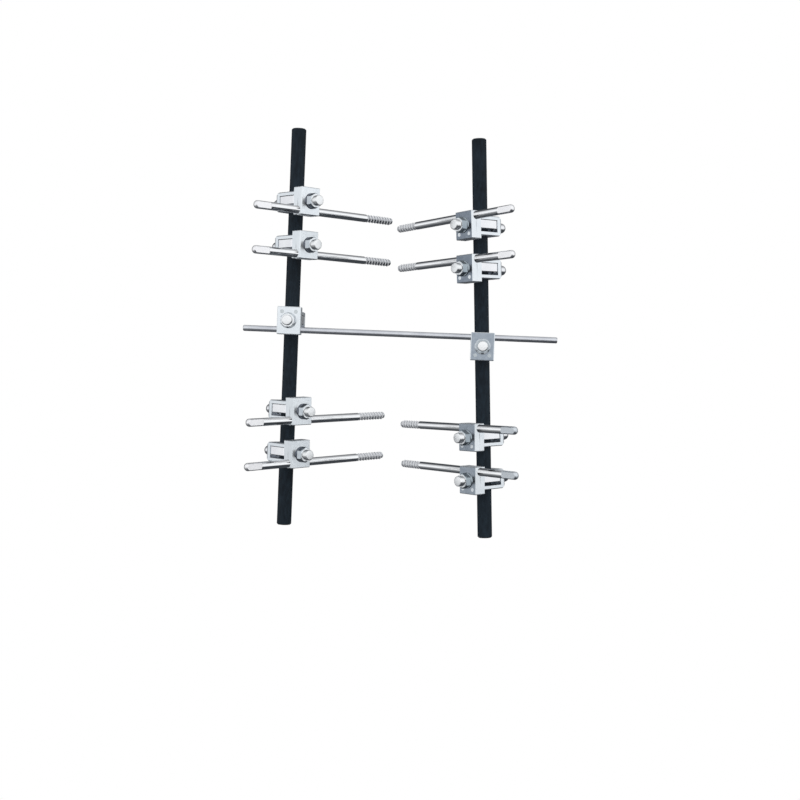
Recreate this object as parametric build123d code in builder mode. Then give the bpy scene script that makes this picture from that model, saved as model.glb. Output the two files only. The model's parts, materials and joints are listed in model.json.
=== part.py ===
from build123d import *
from math import cos, radians, sin
import os

# A two-sided external bone fixator, in millimetres.
# +X runs along the cross bar, +Z up along the left rod and +Y away from the viewer.
# The origin is on the cross bar's axis, midway between the two rods.

# Rods
rod_diameter = 11.0
rod_length = 300.0
rod_end_chamfer = 0.8
rod_spacing = 144.5
left_rod_top = 152.0
right_rod_top = 149.0
right_rod_lean = 3.3

# Cross bar
bar_diameter = 4.5
bar_length = 234.5
bar_left_end = 106.8
bar_end_chamfer = 0.5

# Half-pins: a plain shaft, a screw end and a flattened end for the driver
pin_diameter = 6.0
left_pin_reach = 48.5
left_plain_length = 108.8
left_thread_length = 26.7
right_pin_reach = 46.7
right_plain_length = 104.7
right_thread_length = 21.0
thread_relief_width = 1.2
thread_relief_diameter = 5.2
pin_tip_length = 2.0
pin_tip_diameter = 3.4
pin_flat_length = 13.4
pin_flat_thickness = 4.2
pin_end_rounding = 2.5

# Running fits
running_clearance = 0.05
loose_clearance = 0.2
seat_gap = 0.03

# Clamp vise: two plates drawn together on the rod or pin that they grip
vise_back = 8.0
plate_thickness = 4.6
plate_gap = 0.1
plate_width = 17.6
plate_height = 20.8
plate_corner = 0.7
plate_edge_chamfer = 0.5
grip_offset = 6.8
wedge_depth = 14.0
wedge_width = 1.1
dowel_diameter = 2.8
dowel_spacing = 10.4
dowel_offset = 6.6

# Eye bolt
shank_diameter = 5.8
shank_hole_clearance = 0.1
shank_end_chamfer = 0.5
bolt_end_clearance = 0.4
eye_wall = 2.9
eye_rounding = 0.6
eye_front_corner = 1.6
eye_rear_corner = 0.9
tail_clearance = 0.8
tail_reach = 25.4

# Housing
housing_width = 17.0
housing_height = 14.8
ear_thickness = 2.8
window_reach = 9.7
window_gap = 2.4
web_thickness = 5.2
housing_rear_corner = 2.5
housing_rear_chamfer = 3.4
housing_edge_chamfer = 0.6

# Flanged nut with a round neck that is domed and closed at its end
flange_diameter = 12.6
flange_thickness = 1.5
hex_across_flats = 10.0
hex_height = 4.6
hex_chamfer = 0.5
neck_diameter = 8.4
neck_length = 4.4
neck_rounding = 2.4
cap_thickness = 1.6

# Where the clamps sit, as heights along their rod from the cross bar
left_clamp_heights = (96.4, 63.8, -60.7, -93.0)
right_clamp_heights = (83.5, 51.4, -74.3, -106.5)
clamp_turn = 46.5

# How far each pin slopes up to its tip, from square to its rod
left_pin_slopes = (0.96, 0.76, 2.35, 2.46)
right_pin_slopes = (-1.31, -0.64, 0.82, 1.33)

# One length for every cut that runs past a face
overrun = 1.0

half_turn = 180

# Derived sizes
rod_radius = rod_diameter / 2
rod_bore_radius = rod_radius + running_clearance
grip_plane = vise_back + plate_thickness + plate_gap / 2
outer_plate_start = vise_back + plate_thickness + plate_gap
vise_front = outer_plate_start + plate_thickness
nut_start = vise_front + seat_gap
hex_start = nut_start + flange_thickness
neck_start = hex_start + hex_height
nut_end = neck_start + neck_length
shank_radius = shank_diameter / 2
bolt_hole_end = nut_end - cap_thickness
shank_end = bolt_hole_end - bolt_end_clearance
window_half_height = housing_height / 2 - ear_thickness
eye_top = window_half_height - loose_clearance
eye_bottom = window_gap - window_half_height
tail_radius = window_half_height - tail_clearance
housing_back = window_reach + web_thickness


def clamp_height_line(side):
    """The foot of a rod at the cross bar's height, and the direction that it rises in."""
    if side == "left":
        return Vector(-rod_spacing / 2, grip_plane, 0), Vector(0, 0, 1)
    lean = radians(right_rod_lean)
    return Vector(rod_spacing / 2, grip_plane, 0), Vector(-sin(lean), 0, cos(lean))


def clamp_place(side, height, turn):
    """Where a clamp sits: X out along its bolt, Z up its rod, from the rod's axis."""
    foot, up = clamp_height_line(side)
    outward = Vector(sin(radians(turn)), -cos(radians(turn)), 0)
    return Plane(origin=foot + up * height, x_dir=outward, z_dir=up).location


def vise_place(clamp, roll):
    """Where a clamp's vise sits, rolled about the bolt. Its grip is below the bolt at no roll."""
    return clamp * Location((0, 0, 0), (roll, 0, 0))


def pin_place(vise):
    """The middle of the pin that a vise grips, which runs along Y."""
    return vise * Location((grip_plane, 0, -grip_offset))


def make_housing():
    """The body that rides on the rod: two ears, an open window on each flank and a web behind."""
    length = vise_back + housing_back
    middle = (vise_back - housing_back) / 2
    with BuildPart() as housing:
        with BuildSketch() as plan:
            with Locations((middle, 0)):
                Rectangle(length, housing_width)
            fillet(plan.vertices().group_by(Axis.X)[0], housing_rear_corner)
        extrude(amount=housing_height / 2, both=True)
        with BuildSketch(Plane.XZ) as flank:
            with Locations((middle, 0)):
                Rectangle(length, housing_height)
            chamfer(flank.vertices().group_by(Axis.X)[0], housing_rear_chamfer)
        extrude(amount=housing_width / 2, both=True, mode=Mode.INTERSECT)
        with BuildSketch(Plane.YZ.offset(-housing_back)) as front:
            Rectangle(housing_width, housing_height)
            chamfer(front.vertices(), housing_edge_chamfer)
        extrude(amount=length, mode=Mode.INTERSECT)
        window = vise_back + window_reach + overrun
        with BuildSketch(Plane.XZ):
            with Locations((window / 2 - window_reach, 0)):
                Rectangle(window, 2 * window_half_height)
        extrude(amount=housing_width / 2 + overrun, both=True, mode=Mode.SUBTRACT)
        with BuildSketch():
            Circle(rod_bore_radius)
        extrude(amount=housing_height / 2 + overrun, both=True, mode=Mode.SUBTRACT)
        with BuildSketch(Plane.YZ.offset(-housing_back - overrun)):
            Circle(tail_radius + loose_clearance)
        extrude(amount=web_thickness + 2 * overrun, mode=Mode.SUBTRACT)
    return housing.part


def make_eye_bolt():
    """A bolt whose eye goes round the rod, with a domed tail behind and a plain shank in front.

    The eye sits against the window's top and leaves a gap below it.
    """
    front = vise_back - loose_clearance
    rear = window_reach - loose_clearance
    with BuildPart() as bolt:
        with BuildSketch(Plane.XY.offset(eye_bottom)) as outline:
            with Locations(((front - rear) / 2, 0)):
                Rectangle(front + rear, 2 * (rod_bore_radius + eye_wall))
            fillet(outline.vertices().group_by(Axis.X)[0], eye_rear_corner)
            fillet(outline.vertices().group_by(Axis.X)[-1], eye_front_corner)
        extrude(amount=eye_top - eye_bottom)
        rims = bolt.edges().group_by(Axis.Z)
        fillet(rims[0] + rims[-1], eye_rounding)
        with BuildSketch(Plane.XY):
            with BuildLine():
                Polyline(
                    (eye_rounding - rear, 0),
                    (eye_rounding - rear, tail_radius),
                    (tail_radius - tail_reach, tail_radius),
                )
                RadiusArc((tail_radius - tail_reach, tail_radius), (-tail_reach, 0), -tail_radius)
                Line((-tail_reach, 0), (eye_rounding - rear, 0))
            make_face()
        revolve(axis=Axis.X)
        with BuildSketch(Plane.XY):
            with BuildLine():
                Polyline(
                    (front - eye_front_corner, 0),
                    (front - eye_front_corner, shank_radius),
                    (shank_end - shank_end_chamfer, shank_radius),
                    (shank_end, shank_radius - shank_end_chamfer),
                    (shank_end, 0),
                    close=True,
                )
            make_face()
        revolve(axis=Axis.X)
        with BuildSketch():
            Circle(rod_bore_radius)
        extrude(amount=housing_height / 2, both=True, mode=Mode.SUBTRACT)
    return bolt.part


def make_plate(start, grip_radius, dowel_clearance, outer_face):
    """One vise plate: a block with half of the grip's groove, the bolt's hole and two dowel holes.

    The faces of a pair of plates part in a slim wedge towards the grip's edge.
    """
    with BuildPart() as plate:
        with BuildSketch(Plane.YZ.offset(start)):
            RectangleRounded(plate_width, plate_height, plate_corner)
        extrude(amount=plate_thickness)
        if outer_face:
            chamfer(plate.faces().sort_by(Axis.X)[-1].edges(), plate_edge_chamfer)
        with BuildSketch(Plane.YZ.offset(start)):
            Circle(shank_radius + shank_hole_clearance)
            with Locations((0, dowel_offset)):
                with GridLocations(dowel_spacing, 0, 2, 1):
                    Circle(dowel_diameter / 2 + dowel_clearance)
        extrude(amount=plate_thickness, mode=Mode.SUBTRACT)
        edge = -plate_height / 2
        with BuildSketch(Plane.XZ):
            with Locations((grip_plane, -grip_offset)):
                Circle(grip_radius + running_clearance)
            with BuildLine():
                Polyline(
                    (grip_plane - wedge_width / 2, edge),
                    (grip_plane, edge + wedge_depth),
                    (grip_plane + wedge_width / 2, edge),
                    close=True,
                )
            make_face()
        extrude(amount=plate_width / 2 + overrun, both=True, mode=Mode.SUBTRACT)
    return plate.part


def make_dowels():
    """The two dowels that keep a vise's plates in line, pressed into the inner plate."""
    with BuildPart() as dowels:
        with BuildSketch(Plane.YZ.offset(vise_back)):
            with Locations((0, dowel_offset)):
                with GridLocations(dowel_spacing, 0, 2, 1):
                    Circle(dowel_diameter / 2)
        extrude(amount=vise_front - vise_back)
    return dowels.part


def make_nut():
    """A flanged cap nut: a hexagon between a round flange and a round, domed neck."""
    corner_radius = hex_across_flats / 2 / cos(radians(half_turn / 6))
    with BuildPart() as nut:
        with BuildSketch(Plane.YZ.offset(hex_start)):
            RegularPolygon(hex_across_flats / 2, 6, major_radius=False)
        extrude(amount=hex_height)
        with BuildSketch(Plane.XY):
            with BuildLine():
                Polyline(
                    (hex_start, 0),
                    (hex_start, corner_radius),
                    (neck_start - hex_chamfer, corner_radius),
                    (neck_start, corner_radius - 2 * hex_chamfer),
                    (neck_start, 0),
                    close=True,
                )
            make_face()
        revolve(axis=Axis.X, mode=Mode.INTERSECT)
        with BuildSketch(Plane.YZ.offset(nut_start)):
            Circle(flange_diameter / 2)
        extrude(amount=flange_thickness)
        with BuildSketch(Plane.YZ.offset(neck_start)):
            Circle(neck_diameter / 2)
        extrude(amount=neck_length)
        fillet(nut.faces().sort_by(Axis.X)[-1].edges(), neck_rounding)
        with BuildSketch(Plane.YZ.offset(nut_start)):
            Circle(shank_radius + running_clearance)
        extrude(amount=bolt_hole_end - nut_start, mode=Mode.SUBTRACT)
    return nut.part


def make_pin(reach, plain_length, thread_length):
    """A half-pin along Y: flats and a rounded end at the driver's end, a blunt point at the other."""
    radius = pin_diameter / 2
    start = -reach
    thread_start = start + plain_length
    tip = thread_start + thread_length
    relief_start = thread_start - thread_relief_width
    relief_radius = thread_relief_diameter / 2
    with BuildPart() as pin:
        with BuildSketch(Plane.XY):
            with BuildLine():
                Polyline(
                    (0, start),
                    (radius - pin_end_rounding, start),
                )
                RadiusArc(
                    (radius - pin_end_rounding, start),
                    (radius, start + pin_end_rounding),
                    -pin_end_rounding,
                )
                Polyline(
                    (radius, start + pin_end_rounding),
                    (radius, relief_start),
                    (relief_radius, relief_start),
                    (relief_radius, thread_start),
                    (radius, thread_start),
                    (radius, tip - pin_tip_length),
                    (pin_tip_diameter / 2, tip),
                    (0, tip),
                    (0, start),
                )
            make_face()
        revolve(axis=Axis.Y)
        flat_cut = radius - pin_flat_thickness / 2
        with BuildSketch(Plane.XZ.offset(-start)):
            with GridLocations(pin_flat_thickness + flat_cut, 0, 2, 1):
                Rectangle(flat_cut, pin_diameter)
        extrude(amount=-pin_flat_length, mode=Mode.SUBTRACT)
    return pin.part


def make_rod(side, top):
    """A carbon rod with chamfered ends, from its top end down."""
    foot, up = clamp_height_line(side)
    with BuildPart() as rod:
        with BuildSketch(Plane(origin=foot + up * (top - rod_length), z_dir=up)):
            Circle(rod_radius)
        extrude(amount=rod_length)
        chamfer(rod.edges().filter_by(GeomType.CIRCLE), rod_end_chamfer)
    return rod.part


def make_cross_bar():
    """The steel bar that ties the two rods together."""
    with BuildPart() as bar:
        with BuildSketch(Plane.YZ.offset(-bar_left_end)):
            Circle(bar_diameter / 2)
        extrude(amount=bar_length)
        chamfer(bar.edges().filter_by(GeomType.CIRCLE), bar_end_chamfer)
    return bar.part


def place(name, location, *forms):
    """Sets forms at a place as one labelled part and writes it."""
    with BuildPart() as placed:
        with Locations(location):
            for form in forms:
                add(form)
    placed.part.label = name
    export_step(placed.part, f"parts/{name}.step")
    return placed.part


# Each side's clamps face inward and hold their grip on the side that the photograph shows.
sides = {
    "left": (left_clamp_heights, left_pin_slopes, clamp_turn),
    "right": (right_clamp_heights, right_pin_slopes, -clamp_turn),
}
pin_lengths = {
    "left": (left_pin_reach, left_plain_length, left_thread_length),
    "right": (right_pin_reach, right_plain_length, right_thread_length),
}


def pin_roll(side, slope):
    """A vise's roll about its bolt for a pin that slopes up to its tip."""
    if side == "left":
        return slope
    return half_turn - slope


def clamps():
    """Every pin clamp: its name, its side, its place and its vise's place."""
    for side, (heights, slopes, turn) in sides.items():
        for number, (height, slope) in enumerate(zip(heights, slopes), start=1):
            clamp = clamp_place(side, height, turn)
            yield f"{side}_clamp_{number}", side, clamp, vise_place(clamp, pin_roll(side, slope))


def bar_clamps():
    """The two clamps that hold the cross bar, which lies square to the left rod."""
    left = clamp_place("left", grip_offset, 0)
    yield "left_bar_clamp", left, vise_place(left, 0)
    right = clamp_place("right", -grip_offset / cos(radians(right_rod_lean)), 0)
    yield "right_bar_clamp", right, vise_place(right, half_turn - right_rod_lean)


def build_all():
    os.makedirs("parts", exist_ok=True)
    housing = make_housing()
    eye_bolt = make_eye_bolt()
    nut = make_nut()
    dowels = make_dowels()
    inner_plate = make_plate(vise_back, pin_diameter / 2, 0, False)
    outer_plate = make_plate(outer_plate_start, pin_diameter / 2, running_clearance, True)
    bar_inner_plate = make_plate(vise_back, bar_diameter / 2, 0, False)
    bar_outer_plate = make_plate(outer_plate_start, bar_diameter / 2, running_clearance, True)
    origin = Location((0, 0, 0))
    place("left_rod", origin, make_rod("left", left_rod_top))
    place("right_rod", origin, make_rod("right", right_rod_top))
    place("cross_bar", origin, make_cross_bar())
    pins = {side: make_pin(*lengths) for side, lengths in pin_lengths.items()}
    for name, side, clamp, vise in clamps():
        place(f"{name}_housing", clamp, housing)
        place(f"{name}_eye_bolt", clamp, eye_bolt)
        place(f"{name}_inner_plate", vise, inner_plate, dowels)
        place(f"{name}_outer_plate", vise, outer_plate)
        place(f"{name}_nut", clamp, nut)
        place(name.replace("clamp", "half_pin"), pin_place(vise), pins[side])
    for name, clamp, vise in bar_clamps():
        place(f"{name}_housing", clamp, housing)
        place(f"{name}_eye_bolt", clamp, eye_bolt)
        place(f"{name}_vise_plates", vise, bar_inner_plate, bar_outer_plate, dowels)
        place(f"{name}_nut", clamp, nut)


build_all()
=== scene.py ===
import json
import math

import bmesh
import bpy
from mathutils import Matrix, Vector

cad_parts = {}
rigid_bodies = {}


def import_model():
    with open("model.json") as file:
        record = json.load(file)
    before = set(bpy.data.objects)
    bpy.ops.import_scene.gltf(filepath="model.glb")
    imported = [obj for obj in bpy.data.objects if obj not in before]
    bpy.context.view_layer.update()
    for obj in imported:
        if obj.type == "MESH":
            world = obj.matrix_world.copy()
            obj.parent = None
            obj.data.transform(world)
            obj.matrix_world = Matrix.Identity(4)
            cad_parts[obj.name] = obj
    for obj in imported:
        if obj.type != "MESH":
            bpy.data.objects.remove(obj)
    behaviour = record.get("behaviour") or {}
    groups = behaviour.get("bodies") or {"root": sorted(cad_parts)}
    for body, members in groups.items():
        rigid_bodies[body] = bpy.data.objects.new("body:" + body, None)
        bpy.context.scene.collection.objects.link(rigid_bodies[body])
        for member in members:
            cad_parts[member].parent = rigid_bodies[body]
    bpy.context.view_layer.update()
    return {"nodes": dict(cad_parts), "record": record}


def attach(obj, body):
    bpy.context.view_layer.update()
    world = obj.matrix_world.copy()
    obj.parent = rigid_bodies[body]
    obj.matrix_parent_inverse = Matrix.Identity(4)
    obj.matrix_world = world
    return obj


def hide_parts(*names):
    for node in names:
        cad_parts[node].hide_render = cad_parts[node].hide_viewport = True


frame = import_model()

MM = 0.001
NODES = frame["nodes"]
RECORD = frame["record"]
JOINTS = {joint["name"]: joint for joint in RECORD["behaviour"]["joints"]}
MOUNTS = {mount["name"]: mount for mount in RECORD["mounts"]}

# The camera of the photograph: where it stands, where it looks and how long its lens is
CAMERA_DISTANCE = 0.900
CAMERA_AIM_X = 0.0130
CAMERA_AIM_Z = -0.0219
CAMERA_YAW = math.radians(-2.65)
CAMERA_PITCH = math.radians(-1.73)
CAMERA_ROLL = math.radians(-2.36)
CAMERA_LENS = 54.25
CAMERA_CLIP = 0.01
SENSOR_WIDTH = 36.0

# The part of a noise's range that a colour or gloss varies over, and the noises' scales and details
NOISE_LOW = 0.3
NOISE_HIGH = 0.7
BROAD_SCALE = 90.0
FINE_SCALE = 900.0
BRIGHT_SCALE = 1400.0
POLISHED_SCALE = 1800.0
SPECKLE_SCALE = 400.0
PLAIN_DETAIL = 4.0
FINE_DETAIL = 6.0

# How squarely a face looks along an axis to count as facing it: the cosine of the angle between
SQUARELY = 0.9


def shader(name):
    """A new material with only its Principled shader and output."""
    material = bpy.data.materials.new(name)
    material.use_nodes = True
    nodes, links = material.node_tree.nodes, material.node_tree.links
    nodes.clear()
    out = nodes.new("ShaderNodeOutputMaterial")
    surface = nodes.new("ShaderNodeBsdfPrincipled")
    links.new(surface.outputs["BSDF"], out.inputs["Surface"])
    return material, nodes, links, surface


def noise(nodes, links, scale, detail=PLAIN_DETAIL, stretch=None):
    """A noise texture in the object's own space, drawn out along one axis if asked."""
    place = nodes.new("ShaderNodeTexCoord")
    texture = nodes.new("ShaderNodeTexNoise")
    texture.inputs["Scale"].default_value = scale
    texture.inputs["Detail"].default_value = detail
    if stretch is None:
        links.new(place.outputs["Object"], texture.inputs["Vector"])
    else:
        mapping = nodes.new("ShaderNodeMapping")
        mapping.inputs["Scale"].default_value = stretch
        links.new(place.outputs["Object"], mapping.inputs["Vector"])
        links.new(mapping.outputs["Vector"], texture.inputs["Vector"])
    return texture.outputs["Fac"]


def spread(nodes, links, value, low, high):
    """Goes from low to high over the used part of a noise's range."""
    ranged = nodes.new("ShaderNodeMapRange")
    ranged.inputs["From Min"].default_value = NOISE_LOW
    ranged.inputs["From Max"].default_value = NOISE_HIGH
    ranged.inputs["To Min"].default_value = low
    ranged.inputs["To Max"].default_value = high
    links.new(value, ranged.inputs["Value"])
    return ranged.outputs["Result"]


def two_colours(nodes, links, value, first, second):
    """Fades from one colour to another over the used part of a noise's range."""
    ramp = nodes.new("ShaderNodeValToRGB")
    ramp.color_ramp.elements[0].position = NOISE_LOW
    ramp.color_ramp.elements[1].position = NOISE_HIGH
    ramp.color_ramp.elements[0].color = (*first, 1)
    ramp.color_ramp.elements[1].color = (*second, 1)
    links.new(value, ramp.inputs["Fac"])
    return ramp.outputs["Color"]


def bump(nodes, links, surface, value, strength, distance):
    """Raises the surface a little with a value."""
    relief = nodes.new("ShaderNodeBump")
    relief.inputs["Strength"].default_value = strength
    relief.inputs["Distance"].default_value = distance
    links.new(value, relief.inputs["Height"])
    links.new(relief.outputs["Normal"], surface.inputs["Normal"])


def metal(name, tones, roughness, scale=FINE_SCALE):
    """A metal whose colour and gloss vary a little."""
    material, nodes, links, surface = shader(name)
    surface.inputs["Metallic"].default_value = 1.0
    broad = noise(nodes, links, BROAD_SCALE)
    fine = noise(nodes, links, scale, FINE_DETAIL)
    links.new(two_colours(nodes, links, broad, *tones), surface.inputs["Base Color"])
    links.new(spread(nodes, links, fine, *roughness), surface.inputs["Roughness"])
    return material


def blend_in(material, mask, tones):
    """Lays a second varied colour over a metal where a mask is 1."""
    nodes, links = material.node_tree.nodes, material.node_tree.links
    surface = next(node for node in nodes if node.type == "BSDF_PRINCIPLED")
    under = surface.inputs["Base Color"].links[0].from_socket
    over = two_colours(nodes, links, noise(nodes, links, SPECKLE_SCALE), *tones)
    mixed = nodes.new("ShaderNodeMix")
    mixed.data_type = "RGBA"
    links.new(mask, mixed.inputs["Factor"])
    links.new(under, mixed.inputs["A"])
    links.new(over, mixed.inputs["B"])
    links.new(mixed.outputs["Result"], surface.inputs["Base Color"])


def maths(nodes, links, operation, first, second=None):
    """A calculation on a value, with a second value or a number if it takes two."""
    step = nodes.new("ShaderNodeMath")
    step.operation = operation
    links.new(first, step.inputs[0])
    if isinstance(second, float):
        step.inputs[1].default_value = second
    elif second is not None:
        links.new(second, step.inputs[1])
    return step.outputs[0]


def vector_maths(nodes, links, operation, first, second=None):
    """A calculation on a vector, with a second, fixed one if it takes two."""
    step = nodes.new("ShaderNodeVectorMath")
    step.operation = operation
    links.new(first, step.inputs[0])
    if second is not None:
        step.inputs[1].default_value = second
    return step.outputs


def from_point(nodes, links, point):
    """The way from a point of the object to the surface."""
    place = nodes.new("ShaderNodeTexCoord")
    return vector_maths(nodes, links, "SUBTRACT", place.outputs["Object"], point)["Vector"]


def distance_past(nodes, links, point, axis):
    """How far the surface is past a point of the object, along an axis."""
    way = from_point(nodes, links, point)
    return vector_maths(nodes, links, "DOT_PRODUCT", way, axis)["Value"]


def turned_to(nodes, links, axis):
    """How squarely the surface looks along an axis of the object, from -1 to 1."""
    place = nodes.new("ShaderNodeTexCoord")
    return vector_maths(nodes, links, "DOT_PRODUCT", place.outputs["Normal"], axis)["Value"]


def facing(nodes, links, axis):
    """1 where the surface looks along an axis of the object, 0 on its sides and bevels."""
    return maths(nodes, links, "GREATER_THAN", turned_to(nodes, links, axis), SQUARELY)


def near_line(nodes, links, point, axis, radius):
    """1 within a radius of a line through the object, 0 elsewhere."""
    way = from_point(nodes, links, point)
    across = vector_maths(nodes, links, "CROSS_PRODUCT", way, axis)["Vector"]
    distance = vector_maths(nodes, links, "LENGTH", across)["Value"]
    return maths(nodes, links, "LESS_THAN", distance, radius)


def beyond(nodes, links, point, axis):
    """1 past a plane through a point of the object, 0 behind it."""
    return maths(nodes, links, "GREATER_THAN", distance_past(nodes, links, point, axis), 0.0)


def recess(nodes, links, centre, axis):
    """1 on faces that look along an axis back to a centre, such as a window's floor and ceiling."""
    half = maths(nodes, links, "SIGN", distance_past(nodes, links, centre, axis))
    outward = maths(nodes, links, "MULTIPLY", half, turned_to(nodes, links, axis))
    return maths(nodes, links, "LESS_THAN", outward, -SQUARELY)


CARBON_TONES = ((0.006, 0.010, 0.015), (0.022, 0.035, 0.049))
CARBON_ROUGHNESS = (0.45, 0.6)
CARBON_SPECULAR = 0.12
FIBRE_SCALE = 500.0
FIBRE_STRETCH = (1.0, 1.0, 0.35)
FIBRE_SHARE = 0.65
CLOUD_SCALE = 40.0
CLOUD_SHARE = 0.35
FIBRE_RELIEF = 0.2
FIBRE_HEIGHT = 0.2 * MM


def carbon(name):
    """Wound carbon fibre under a thin satin coat."""
    material, nodes, links, surface = shader(name)
    fibres = noise(nodes, links, FIBRE_SCALE, FINE_DETAIL, FIBRE_STRETCH)
    clouds = noise(nodes, links, CLOUD_SCALE)
    mixed = nodes.new("ShaderNodeMath")
    mixed.operation = "MULTIPLY_ADD"
    mixed.inputs[1].default_value = CLOUD_SHARE
    links.new(clouds, mixed.inputs[0])
    links.new(maths(nodes, links, "MULTIPLY", fibres, FIBRE_SHARE), mixed.inputs[2])
    tone = two_colours(nodes, links, mixed.outputs[0], *CARBON_TONES)
    links.new(tone, surface.inputs["Base Color"])
    links.new(spread(nodes, links, fibres, *CARBON_ROUGHNESS), surface.inputs["Roughness"])
    surface.inputs["Specular IOR Level"].default_value = CARBON_SPECULAR
    bump(nodes, links, surface, fibres, FIBRE_RELIEF, FIBRE_HEIGHT)
    return material


# Each metal's two colours and the range of its roughness
SILVER_TONES = ((0.81, 0.86, 0.905), (0.88, 0.925, 0.96))
BRIGHT_TONES = ((0.84, 0.85, 0.88), (0.92, 0.93, 0.95))
POLISHED_TONES = ((0.86, 0.87, 0.89), (0.94, 0.95, 0.96))
BAR_TONES = ((0.62, 0.64, 0.69), (0.75, 0.77, 0.81))
# Painted shade: the eye bolts' shanks are dark in place of the shade of the nut and plates round them
SHANK_PAINTED_SHADE = ((0.015, 0.017, 0.02), (0.03, 0.033, 0.037))
# Painted shade on the faces of the right-hand plates, paler on the lower clamps and the right bar clamp
PAINTED_SHADE_FACE = ((0.24, 0.28, 0.34), (0.30, 0.345, 0.40))
PALE_PAINTED_SHADE_FACE = ((0.33, 0.38, 0.44), (0.41, 0.46, 0.52))
LEFT_DOWELS = ((0.55, 0.60, 0.62), (0.66, 0.70, 0.72))
RIGHT_DOWELS = ((0.48, 0.53, 0.57), (0.58, 0.63, 0.66))
IN_SHADE = {
    "left": ((0.30, 0.33, 0.38), (0.40, 0.43, 0.48)),
    "right": ((0.10, 0.12, 0.15), (0.16, 0.185, 0.215)),
}
SATIN = (0.28, 0.36)
BRUSHED = (0.26, 0.34)
SMOOTH = (0.20, 0.28)
MIRROR = (0.08, 0.13)

SILVER = metal("satin_silver", SILVER_TONES, SATIN)
BRIGHT = metal("bright_steel", BRIGHT_TONES, SMOOTH, BRIGHT_SCALE)
POLISHED = metal("polished_pin", POLISHED_TONES, MIRROR, POLISHED_SCALE)
BAR = metal("polished_bar", BAR_TONES, BRUSHED, POLISHED_SCALE)
CARBON = carbon("carbon_fibre")

# A clamp's sizes, as part.py has them: where its dowels are from the bolt, and how far behind the middle
# of the vise the shank's painted shade starts (a plate's thickness) and the rod's centre lies
DOWEL_RADIUS = 1.4 * MM
DOWEL_ACROSS = 5.2 * MM
DOWEL_ALONG = 6.6 * MM
SHANK_BACK = 4.6 * MM
ROD_BACK = 12.65 * MM

# Where the shade under the eye starts: the eye ends 2.2 mm below the rod's centre
UNDER_EYE = 2.4 * MM

# The pin clamps on each rod, numbered from the top
CLAMP_NUMBERS = (1, 2, 3, 4)


def painted_shade_faced(number, face):
    """The outer plate of a right-hand pin clamp: painted shade makes its face grey, and its edges stay
    bright.
    """
    axis = JOINTS[f"right_vise_{number}_turn"]["axis"]
    material = metal(f"right_plate_{number}", SILVER_TONES, SATIN)
    nodes, links = material.node_tree.nodes, material.node_tree.links
    blend_in(material, facing(nodes, links, axis), face)
    return material


def bar_plates(side, face, spot):
    """The two plates of a bar clamp, with painted shade on the face if one is given, and their dowels'
    ends showing in the face.
    """
    turn = JOINTS[f"{side}_bar_vise_turn"]
    axis, centre = Vector(turn["axis"]), Vector(turn["pos_m"])
    grip = Vector(MOUNTS["cross_bar_middle"]["axis"])
    away = grip.cross(axis) * (1 if side == "right" else -1)
    material = metal(f"{side}_bar_plates", SILVER_TONES, SATIN)
    nodes, links = material.node_tree.nodes, material.node_tree.links
    if face:
        blend_in(material, facing(nodes, links, axis), face)
    for across in (-DOWEL_ACROSS, DOWEL_ACROSS):
        dowel = centre + grip * across + away * DOWEL_ALONG
        blend_in(material, near_line(nodes, links, dowel, axis, DOWEL_RADIUS), spot)
    return material


def eye_bolt(name, joint, shade):
    """A bright eye; its threaded shank is dark with painted shade from the vise plates on, and painted
    shade lies on the faces that look back to the rod.
    """
    axis, centre = Vector(JOINTS[joint]["axis"]), Vector(JOINTS[joint]["pos_m"])
    material = metal(name, BRIGHT_TONES, SMOOTH, BRIGHT_SCALE)
    nodes, links = material.node_tree.nodes, material.node_tree.links
    # Painted shade: the shank is dark past the vise plates, for the shade of the nut and plates round it
    blend_in(material, beyond(nodes, links, centre - axis * SHANK_BACK, axis), SHANK_PAINTED_SHADE)
    blend_in(material, recess(nodes, links, centre - axis * ROD_BACK, axis), shade)
    return material


def housing(name, turn, slide, shade):
    """A satin housing with painted shade on its window's floor and ceiling and on what shows under the
    eye.
    """
    ahead, up = Vector(JOINTS[turn]["axis"]), Vector(JOINTS[slide]["axis"])
    if up.z < 0:
        up.negate()
    centre = Vector(JOINTS[turn]["pos_m"]) - ahead * ROD_BACK
    material = metal(name, SILVER_TONES, SATIN)
    nodes, links = material.node_tree.nodes, material.node_tree.links
    under = beyond(nodes, links, centre - up * UNDER_EYE, -up)
    behind = maths(nodes, links, "MULTIPLY", recess(nodes, links, centre, ahead), under)
    for mask in (recess(nodes, links, centre, up), behind):
        blend_in(material, mask, shade)
    return material


def dress(name, material):
    """Gives a CAD node its material."""
    node = NODES[name]
    node.data.materials.clear()
    node.data.materials.append(material)


for name in NODES:
    if name.endswith("_rod"):
        dress(name, CARBON)
    elif name == "cross_bar":
        dress(name, BAR)
    elif "half_pin" in name:
        dress(name, POLISHED)
    elif name.endswith("_nut"):
        dress(name, BRIGHT)
    else:
        dress(name, SILVER)
for number in CLAMP_NUMBERS:
    face = PAINTED_SHADE_FACE if number < 3 else PALE_PAINTED_SHADE_FACE
    dress(f"right_clamp_{number}_outer_plate", painted_shade_faced(number, face))
for side, shade in IN_SHADE.items():
    for number in CLAMP_NUMBERS:
        clamp, turn = f"{side}_clamp_{number}", f"{side}_vise_{number}_turn"
        dress(f"{clamp}_eye_bolt", eye_bolt(f"{clamp}_eye_bolt", turn, shade))
        dress(f"{clamp}_housing", housing(f"{clamp}_housing", turn, f"{clamp}_slide", shade))
    clamp, turn = f"{side}_bar_clamp", f"{side}_bar_vise_turn"
    dress(f"{clamp}_eye_bolt", eye_bolt(f"{clamp}_eye_bolt", turn, shade))
    dress(f"{clamp}_housing", housing(f"{clamp}_housing", turn, f"{side}_clamp_1_slide", shade))
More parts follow.
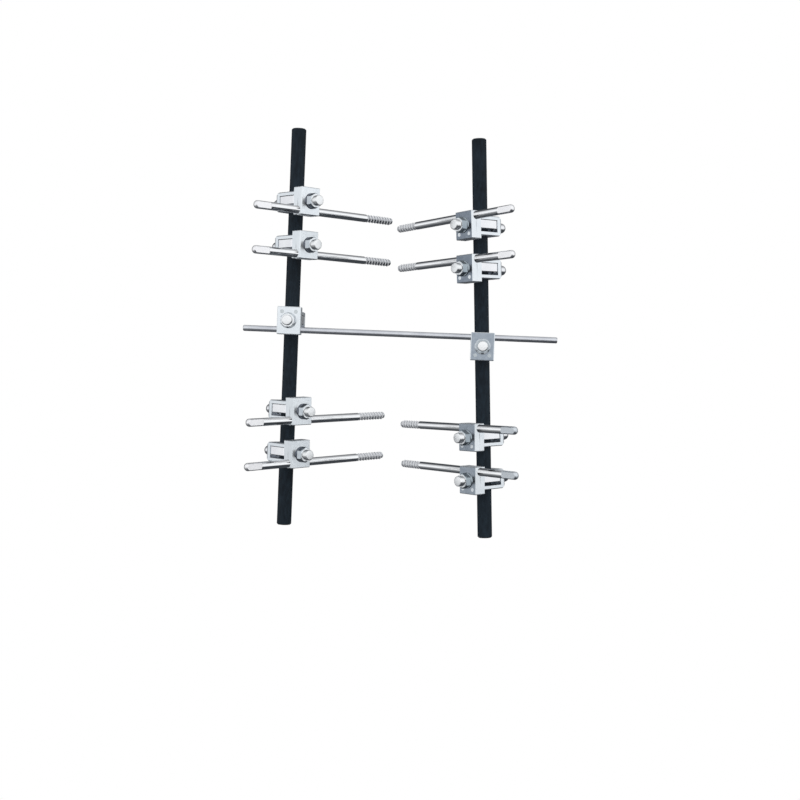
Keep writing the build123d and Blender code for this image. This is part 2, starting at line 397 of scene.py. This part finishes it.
dress("left_bar_clamp_vise_plates", bar_plates("left", None, LEFT_DOWELS))
dress("right_bar_clamp_vise_plates", bar_plates("right", PALE_PAINTED_SHADE_FACE, RIGHT_DOWELS))


# Half-pins, as part.py sizes them, with a helical thread cut into the screw end
PIN_RADIUS = 3.0 * MM
PIN_PLAIN = {"left": 108.8 * MM, "right": 104.7 * MM}
PIN_ROUNDING = 2.5 * MM
PIN_FLAT_LENGTH = 13.4 * MM
PIN_FLAT_HALF = 2.1 * MM
PIN_FLAT_EDGE = 0.01 * MM
PIN_TIP_LENGTH = 2.0 * MM
PIN_TIP_RADIUS = 1.7 * MM
PIN_TIP_CURVE = 1.6
PIN_RELIEF_WIDTH = 1.2 * MM
PIN_RELIEF_RADIUS = 2.6 * MM
PIN_RELIEF_EDGE = 0.3 * MM
PIN_SIDES = 40
PIN_SHARP = math.radians(35)
ROUND_STEPS = 8
FLAT_STEPS = 6
SHAFT_STEPS = 12

# The thread: its depth falls by THREAD_SLOPE on each side of the groove's flat floor
THREAD_PITCH = 2.9 * MM
THREAD_DEPTH = 0.8 * MM
THREAD_FLOOR = 1.35
THREAD_SLOPE = 1.5
THREAD_STEPS = 10
THREAD_ON_TIP = 0.6

# The grooves' painted shade, lighter on some pins, shows within GROOVE_RADIUS of the pin's axis
GROOVE_RADIUS = 2.6 * MM
GROOVE_PAINTED_SHADE = ((0.42, 0.44, 0.47), (0.52, 0.54, 0.57))
PALE_GROOVE_PAINTED_SHADE = ((0.62, 0.64, 0.67), (0.72, 0.74, 0.77))
CREST = ((0.88, 0.89, 0.91), (0.95, 0.95, 0.97))
CREST_ROUGHNESS = (0.2, 0.3)
CREST_METAL = 0.12
GROOVE_METAL = 1.0
PALE_GROOVE_METAL = 0.5
FLATS = metal("pin_flats", ((0.92, 0.92, 0.94), (0.97, 0.97, 0.98)), BRUSHED)
# Painted shade: a darker, bluer copy of the flats for the two lower right-hand pins
PAINTED_SHADE_FLATS = metal("pin_flats_painted_shade", ((0.66, 0.71, 0.76), (0.74, 0.78, 0.82)), (0.36, 0.44))
SHAFT_SLOT, FLATS_SLOT, THREAD_SLOT = 0, 1, 2


def thread_depth(along, angle):
    """How far below the crest the thread's surface is: a V with a flat crest and a flat floor."""
    phase = (along / THREAD_PITCH - angle / (2 * math.pi)) % 1.0
    return THREAD_DEPTH * min(1.0, max(0.0, THREAD_FLOOR - abs(2 * phase - 1) * THREAD_SLOPE))


def pin_rows(plain, thread_length):
    """(place along the pin, radius, whether it is cut to flats, whether threaded) for each ring."""
    rows = []
    for k in range(ROUND_STEPS + 1):
        turn = math.pi / 2 * k / ROUND_STEPS
        radius = PIN_RADIUS - PIN_ROUNDING * (1 - math.sin(turn))
        rows.append((PIN_ROUNDING * (1 - math.cos(turn)), radius, True, False))
    for k in range(1, FLAT_STEPS + 1):
        place = PIN_ROUNDING + (PIN_FLAT_LENGTH - PIN_ROUNDING) * k / FLAT_STEPS
        rows.append((place, PIN_RADIUS, True, False))
    rows.append((PIN_FLAT_LENGTH + PIN_FLAT_EDGE, PIN_RADIUS, False, False))
    relief = plain - PIN_RELIEF_WIDTH
    for k in range(1, SHAFT_STEPS + 1):
        place = PIN_FLAT_LENGTH + (relief - PIN_FLAT_LENGTH) * k / SHAFT_STEPS
        rows.append((place, PIN_RADIUS, False, False))
    rows.append((relief + PIN_RELIEF_EDGE, PIN_RELIEF_RADIUS, False, False))
    rows.append((plain - PIN_RELIEF_EDGE, PIN_RELIEF_RADIUS, False, False))
    tip = plain + thread_length
    count = round((thread_length - PIN_TIP_LENGTH) / THREAD_PITCH * THREAD_STEPS)
    for k in range(count + 1):
        rows.append((plain + (thread_length - PIN_TIP_LENGTH) * k / count, PIN_RADIUS, False, True))
    taper = round(PIN_TIP_LENGTH / THREAD_PITCH * THREAD_STEPS)
    for k in range(1, taper + 1):
        share = k / taper
        radius = PIN_RADIUS + (PIN_TIP_RADIUS - PIN_RADIUS) * share ** PIN_TIP_CURVE
        rows.append((tip - PIN_TIP_LENGTH * (1 - share), radius, False, share < THREAD_ON_TIP))
    return rows


def thread_metal(node, start, along, pale):
    """One pin's thread: pale crests over darker, more mirror-like grooves, whose darkness is painted
    shade.
    """
    material = metal(f"{node}_thread", CREST, CREST_ROUGHNESS, BRIGHT_SCALE)
    nodes, links = material.node_tree.nodes, material.node_tree.links
    groove = near_line(nodes, links, start, along, GROOVE_RADIUS)
    blend_in(material, groove, PALE_GROOVE_PAINTED_SHADE if pale else GROOVE_PAINTED_SHADE)
    shine = nodes.new("ShaderNodeMath")
    shine.operation = "MULTIPLY_ADD"
    shine.inputs[1].default_value = (PALE_GROOVE_METAL if pale else GROOVE_METAL) - CREST_METAL
    shine.inputs[2].default_value = CREST_METAL
    links.new(groove, shine.inputs[0])
    surface = next(node for node in nodes if node.type == "BSDF_PRINCIPLED")
    links.new(shine.outputs[0], surface.inputs["Metallic"])
    return material


def join_rings(build, rings, slots):
    """Joins each ring of vertices to the next, with the material slot that it is given."""
    for first, second, slot in zip(rings, rings[1:], slots):
        for k, vertex in enumerate(first):
            after = (k + 1) % len(first)
            face = build.faces.new((vertex, first[after], second[after], second[k]))
            face.material_index = slot


def finished_piece(build, name, sharp, materials):
    """The object made from a built mesh, smooth but for edges over the sharp angle."""
    bmesh.ops.recalc_face_normals(build, faces=build.faces)
    mesh = bpy.data.meshes.new(name)
    build.to_mesh(mesh)
    build.free()
    mesh.shade_smooth()
    mesh.set_sharp_from_angle(angle=sharp)
    piece = bpy.data.objects.new(name, mesh)
    for material in materials:
        piece.data.materials.append(material)
    bpy.context.scene.collection.objects.link(piece)
    return piece


def half_pin(side, number):
    """One half-pin, in the place of its CAD node."""
    node = f"{side}_half_pin_{number}"
    thread = MOUNTS[f"{node}_thread"]
    along = Vector(thread["axis"])
    across = Vector(JOINTS[f"{side}_vise_{number}_turn"]["axis"])
    third = along.cross(across)
    stretch = thread["dims"]["length_mm"] * MM
    plain = PIN_PLAIN[side]
    start = Vector(thread["pos_m"]) - along * (plain + stretch / 2)
    rows = pin_rows(plain, stretch + PIN_TIP_LENGTH)
    build = bmesh.new()
    rings, slots = [], []
    for place, radius, flat, threaded in rows:
        ring = []
        for k in range(PIN_SIDES):
            angle = 2 * math.pi * k / PIN_SIDES
            deep = thread_depth(place - plain, angle) if threaded else 0.0
            x, y = (radius - deep) * math.cos(angle), (radius - deep) * math.sin(angle)
            if flat:
                x = max(-PIN_FLAT_HALF, min(PIN_FLAT_HALF, x))
            ring.append(build.verts.new(start + along * place + across * x + third * y))
        rings.append(ring)
        in_relief = place > plain - PIN_RELIEF_WIDTH
        slots.append(FLATS_SLOT if flat else THREAD_SLOT if in_relief else SHAFT_SLOT)
    join_rings(build, rings, slots)
    build.faces.new(reversed(rings[0])).material_index = FLATS_SLOT
    build.faces.new(rings[-1])
    flats = PAINTED_SHADE_FLATS if side == "right" and number > 2 else FLATS
    pale = side == "right" or number > 2
    materials = (POLISHED, flats, thread_metal(node, start, along, pale))
    piece = finished_piece(build, f"{node}_threaded", PIN_SHARP, materials)
    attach(piece, node)
    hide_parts(node)


for side in ("left", "right"):
    for number in CLAMP_NUMBERS:
        half_pin(side, number)


# Nuts, where part.py's are: flats upright, a wider hexagon, a narrower flange and a crisp narrow neck
NUT_FLANGE_RADIUS = 5.9 * MM
NUT_FLANGE_HEIGHT = 1.5 * MM
NUT_FLANGE_EDGE = 0.3 * MM
NUT_HEX_HALF = 5.1 * MM
NUT_HEX_BACK = 0.02 * MM
NUT_HEX_FRONT = 6.1 * MM
NUT_CHAMFER = 0.5 * MM
NUT_CHAMFERED = 0.97
NUT_NECK_RADIUS = 3.8 * MM
NUT_FRONT = 10.5 * MM
NUT_NECK_ROUNDING = 0.7 * MM
NUT_BORE_RADIUS = 3.0 * MM
NUT_BORE_DEPTH = 8.9 * MM
NUT_SIDES = 48
NUT_SHARP = math.radians(25)
NECK_STEPS = 5
HEX_CORNER = math.radians(30)
POLISHED_FACETS = (0.22, 0.3)
NECK = metal("nut_neck", ((0.90, 0.92, 0.93), (0.96, 0.97, 0.98)), SATIN)
# Painted shade: the hexagons' flats, and the right-hand nuts' flanges, are darker than the nut's own neck
# and front; the paler copy is for the left-hand and bar nuts
FACETS_PAINTED_SHADE = metal("nut_facets", ((0.31, 0.37, 0.42), (0.41, 0.47, 0.51)), POLISHED_FACETS)
PALE_FACETS_PAINTED_SHADE = metal("nut_facets_pale", ((0.52, 0.57, 0.62), (0.62, 0.67, 0.71)), POLISHED_FACETS)
# Painted shade: the dark flange of the left-hand pin clamps' nuts
FLANGE_PAINTED_SHADE = metal("nut_flange", ((0.13, 0.15, 0.19), (0.20, 0.22, 0.26)), SATIN)
PALE_FRONT = metal("nut_front_pale", ((0.84, 0.88, 0.91), (0.92, 0.94, 0.96)), SATIN)
# Painted shade: a grey copy of the nut's front for the right bar clamp's nut
FRONT_PAINTED_SHADE = metal("nut_front_painted_shade", ((0.40, 0.45, 0.49), (0.50, 0.55, 0.59)), (0.3, 0.38))
NECK_SLOT, FACETS_SLOT, FRONT_SLOT, FLANGE_SLOT = 0, 1, 2, 3


def nut_rows():
    """(height, greatest radius, whether it is hexagonal, slot of the faces that follow) for each ring."""
    wide = NUT_HEX_HALF / math.cos(HEX_CORNER)
    narrow = NUT_FLANGE_RADIUS - NUT_FLANGE_EDGE
    rows = [
        (NUT_BORE_DEPTH, NUT_BORE_RADIUS, False, FRONT_SLOT),
        (0.0, NUT_BORE_RADIUS, False, FRONT_SLOT),
        (0.0, narrow, False, FRONT_SLOT),
        (NUT_FLANGE_EDGE, NUT_FLANGE_RADIUS, False, FLANGE_SLOT),
        (NUT_FLANGE_HEIGHT - NUT_FLANGE_EDGE, NUT_FLANGE_RADIUS, False, FLANGE_SLOT),
        (NUT_FLANGE_HEIGHT, narrow, False, FLANGE_SLOT),
        (NUT_FLANGE_HEIGHT + NUT_HEX_BACK, wide, True, FACETS_SLOT),
        (NUT_HEX_FRONT - NUT_CHAMFER, wide, True, FACETS_SLOT),
        (NUT_HEX_FRONT - NUT_CHAMFER / 2, (wide + NUT_HEX_HALF) / 2, True, FACETS_SLOT),
        (NUT_HEX_FRONT, NUT_HEX_HALF * NUT_CHAMFERED, True, FRONT_SLOT),
        (NUT_HEX_FRONT, NUT_NECK_RADIUS, False, NECK_SLOT),
    ]
    for k in range(NECK_STEPS + 1):
        turn = math.pi / 2 * k / NECK_STEPS
        height = NUT_FRONT - NUT_NECK_ROUNDING * (1 - math.sin(turn))
        radius = NUT_NECK_RADIUS - NUT_NECK_ROUNDING * (1 - math.cos(turn))
        rows.append((height, radius, False, NECK_SLOT))
    return rows


def nut(node, joint, facets, front, flange):
    """One flanged nut, in the place of its CAD node."""
    axis, centre = Vector(JOINTS[joint]["axis"]), Vector(JOINTS[joint]["pos_m"])
    seat = min((vertex.co - centre).dot(axis) for vertex in NODES[node].data.vertices)
    start = centre + axis * seat
    level = Vector((-axis.y, axis.x, 0)).normalized()
    upright = axis.cross(level)
    build = bmesh.new()
    rings, slots = [], []
    for height, widest, hexagonal, slot in nut_rows():
        ring = []
        for k in range(NUT_SIDES):
            angle = 2 * math.pi * k / NUT_SIDES
            radius = widest
            if hexagonal:
                off = (angle + HEX_CORNER) % (2 * HEX_CORNER) - HEX_CORNER
                radius = min(widest, NUT_HEX_HALF / math.cos(off))
            out = level * math.cos(angle) + upright * math.sin(angle)
            ring.append(build.verts.new(start + axis * height + out * radius))
        rings.append(ring)
        slots.append(slot)
    join_rings(build, rings, slots)
    build.faces.new(reversed(rings[0])).material_index = FRONT_SLOT
    build.faces.new(rings[-1])
    piece = finished_piece(build, f"{node}_capped", NUT_SHARP, (NECK, facets, front, flange))
    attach(piece, JOINTS[joint]["child"])
    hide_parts(node)


for number in CLAMP_NUMBERS:
    nut(f"left_clamp_{number}_nut", f"left_nut_{number}_spin", PALE_FACETS_PAINTED_SHADE, PALE_FRONT, FLANGE_PAINTED_SHADE)
    nut(f"right_clamp_{number}_nut", f"right_nut_{number}_spin", FACETS_PAINTED_SHADE, PALE_FRONT, FACETS_PAINTED_SHADE)
nut("left_bar_clamp_nut", "left_bar_nut_spin", PALE_FACETS_PAINTED_SHADE, PALE_FRONT, PALE_FACETS_PAINTED_SHADE)
nut("right_bar_clamp_nut", "right_bar_nut_spin", PALE_FACETS_PAINTED_SHADE, FRONT_PAINTED_SHADE, PALE_FACETS_PAINTED_SHADE)


def photograph_camera():
    """The camera that frames the object as the photograph does."""
    yaw, pitch, roll = CAMERA_YAW, CAMERA_PITCH, CAMERA_ROLL
    level_ahead = Vector((math.sin(yaw), math.cos(yaw), 0))
    ahead = Vector((math.sin(yaw) * math.cos(pitch), math.cos(yaw) * math.cos(pitch), math.sin(pitch)))
    level = Vector((math.cos(yaw), -math.sin(yaw), 0))
    upright = level.cross(ahead)
    right = level * math.cos(roll) - upright * math.sin(roll)
    up = level * math.sin(roll) + upright * math.cos(roll)
    place = Vector((CAMERA_AIM_X, 0, CAMERA_AIM_Z)) - CAMERA_DISTANCE * level_ahead
    data = bpy.data.cameras.new("photograph_camera")
    data.lens = CAMERA_LENS
    data.sensor_width = SENSOR_WIDTH
    data.clip_start = CAMERA_CLIP
    camera = bpy.data.objects.new("photograph_camera", data)
    turned = Matrix((right, up, -ahead)).transposed().to_4x4()
    camera.matrix_world = Matrix.Translation(place) @ turned
    bpy.context.scene.collection.objects.link(camera)
    bpy.context.scene.camera = camera


def plane(name, corners, material):
    """A flat stage piece through its corners."""
    mesh = bpy.data.meshes.new(name)
    mesh.from_pydata(corners, [], [tuple(range(len(corners)))])
    piece = bpy.data.objects.new(name, mesh)
    piece.data.materials.append(material)
    bpy.context.scene.collection.objects.link(piece)
    return piece


WHITE = (1, 1, 1, 1)
STAGE_GREY = (0.8, 0.8, 0.8, 1)
FLOOR_HEIGHT = -0.42
BACKDROP_PLACE = 1.6
STAGE_REACH = 4.0


def stage_white():
    """A pale surface that the camera sees as plain white."""
    material = bpy.data.materials.new("stage_white")
    material.use_nodes = True
    nodes, links = material.node_tree.nodes, material.node_tree.links
    nodes.clear()
    out = nodes.new("ShaderNodeOutputMaterial")
    rays = nodes.new("ShaderNodeLightPath")
    pale = nodes.new("ShaderNodeBsdfDiffuse")
    pale.inputs["Color"].default_value = STAGE_GREY
    white = nodes.new("ShaderNodeEmission")
    white.inputs["Color"].default_value = WHITE
    white.inputs["Strength"].default_value = 1.0
    mixed = nodes.new("ShaderNodeMixShader")
    links.new(rays.outputs["Is Camera Ray"], mixed.inputs["Fac"])
    links.new(pale.outputs["BSDF"], mixed.inputs[1])
    links.new(white.outputs["Emission"], mixed.inputs[2])
    links.new(mixed.outputs["Shader"], out.inputs["Surface"])
    return material


# The light that comes from each height, from straight down to straight up, on each side
FRONT_RIGHT = ((0.0, 0.045), (0.36, 0.045), (0.43, 0.95), (0.5, 1.0), (0.85, 1.0), (0.95, 0.8), (1.0, 0.6))
FRONT_LEFT = (
    (0.0, 0.14), (0.18, 0.16), (0.26, 0.3), (0.36, 0.36),
    (0.43, 0.95), (0.5, 1.0), (0.95, 0.8), (1.0, 0.6),
)
BACK_RIGHT = (
    (0.0, 0.045), (0.45, 0.06), (0.55, 0.3), (0.68, 0.35),
    (0.8, 0.2), (0.88, 0.25), (0.94, 0.8), (1.0, 0.6),
)
BACK_LEFT = ((0.0, 0.06), (0.45, 0.06), (0.55, 0.09), (0.7, 0.06), (0.88, 0.06), (0.94, 0.8), (1.0, 0.6))

# What a grey is multiplied by, and what is added, for red, green and blue
GREY_TINT = ((0.98, 0.0), (0.985, 0.005), (0.99, 0.012))

# Where the light of one side turns into the other's, and how strong it all is
FRONT_TO_BACK = (0.1, 0.45)
LEFT_TO_RIGHT = (-0.1, 0.1)
SKY_STRENGTH = 1.05


def ramp(nodes, links, height, stops):
    """A grey for each height from -1 to 1."""
    ranged = nodes.new("ShaderNodeMapRange")
    ranged.inputs["From Min"].default_value = -1.0
    ranged.inputs["From Max"].default_value = 1.0
    links.new(height, ranged.inputs["Value"])
    greys = nodes.new("ShaderNodeValToRGB")
    elements = greys.color_ramp.elements
    for at, level in stops:
        element = elements[0] if at == 0 else elements[-1] if at == 1 else elements.new(at)
        element.color = (*(level * share + added for share, added in GREY_TINT), 1)
    links.new(ranged.outputs["Result"], greys.inputs["Fac"])
    return greys.outputs["Color"]


def fade(nodes, links, value, limits, first, second):
    """Goes from one colour to another as a value goes from one limit to the other."""
    share = nodes.new("ShaderNodeMapRange")
    share.inputs["From Min"].default_value = limits[0]
    share.inputs["From Max"].default_value = limits[1]
    links.new(value, share.inputs["Value"])
    mixed = nodes.new("ShaderNodeMix")
    mixed.data_type = "RGBA"
    links.new(share.outputs["Result"], mixed.inputs["Factor"])
    links.new(first, mixed.inputs["A"])
    links.new(second, mixed.inputs["B"])
    return mixed.outputs["Result"]


def studio():
    """A white floor and backdrop, and a soft world that is brighter in front."""
    white = stage_white()
    low, far, wide = FLOOR_HEIGHT, BACKDROP_PLACE, STAGE_REACH
    ground = [(-wide, -wide, low), (wide, -wide, low), (wide, far, low), (-wide, far, low)]
    upright = [(-wide, far, low), (wide, far, low), (wide, far, wide), (-wide, far, wide)]
    for piece in (plane("floor", ground, white), plane("backdrop", upright, white)):
        piece.visible_glossy = False
        piece.visible_diffuse = False
    world = bpy.data.worlds.new("studio")
    bpy.context.scene.world = world
    world.use_nodes = True
    nodes, links = world.node_tree.nodes, world.node_tree.links
    nodes.clear()
    out = nodes.new("ShaderNodeOutputWorld")
    rays = nodes.new("ShaderNodeLightPath")
    way = nodes.new("ShaderNodeTexCoord")
    parts = nodes.new("ShaderNodeSeparateXYZ")
    links.new(way.outputs["Generated"], parts.inputs["Vector"])
    sides = []
    for stops in (FRONT_LEFT, BACK_LEFT, FRONT_RIGHT, BACK_RIGHT):
        sides.append(ramp(nodes, links, parts.outputs["Z"], stops))
    left = fade(nodes, links, parts.outputs["Y"], FRONT_TO_BACK, sides[0], sides[1])
    right = fade(nodes, links, parts.outputs["Y"], FRONT_TO_BACK, sides[2], sides[3])
    sky = fade(nodes, links, parts.outputs["X"], LEFT_TO_RIGHT, left, right)
    lit = nodes.new("ShaderNodeBackground")
    lit.inputs["Strength"].default_value = SKY_STRENGTH
    links.new(sky, lit.inputs["Color"])
    seen = nodes.new("ShaderNodeBackground")
    seen.inputs["Color"].default_value = WHITE
    seen.inputs["Strength"].default_value = 1.0
    mixed = nodes.new("ShaderNodeMixShader")
    links.new(rays.outputs["Is Camera Ray"], mixed.inputs["Fac"])
    links.new(lit.outputs["Background"], mixed.inputs[1])
    links.new(seen.outputs["Background"], mixed.inputs[2])
    links.new(mixed.outputs["Shader"], out.inputs["Surface"])


# Only housings and eye bolts show in the bright metal, so that its bands of light stay clean
for piece in bpy.data.objects:
    if piece.type == "MESH" and not piece.name.endswith(("_housing", "_eye_bolt")):
        piece.visible_glossy = False

bpy.context.scene.view_settings.view_transform = "Standard"
photograph_camera()
studio()
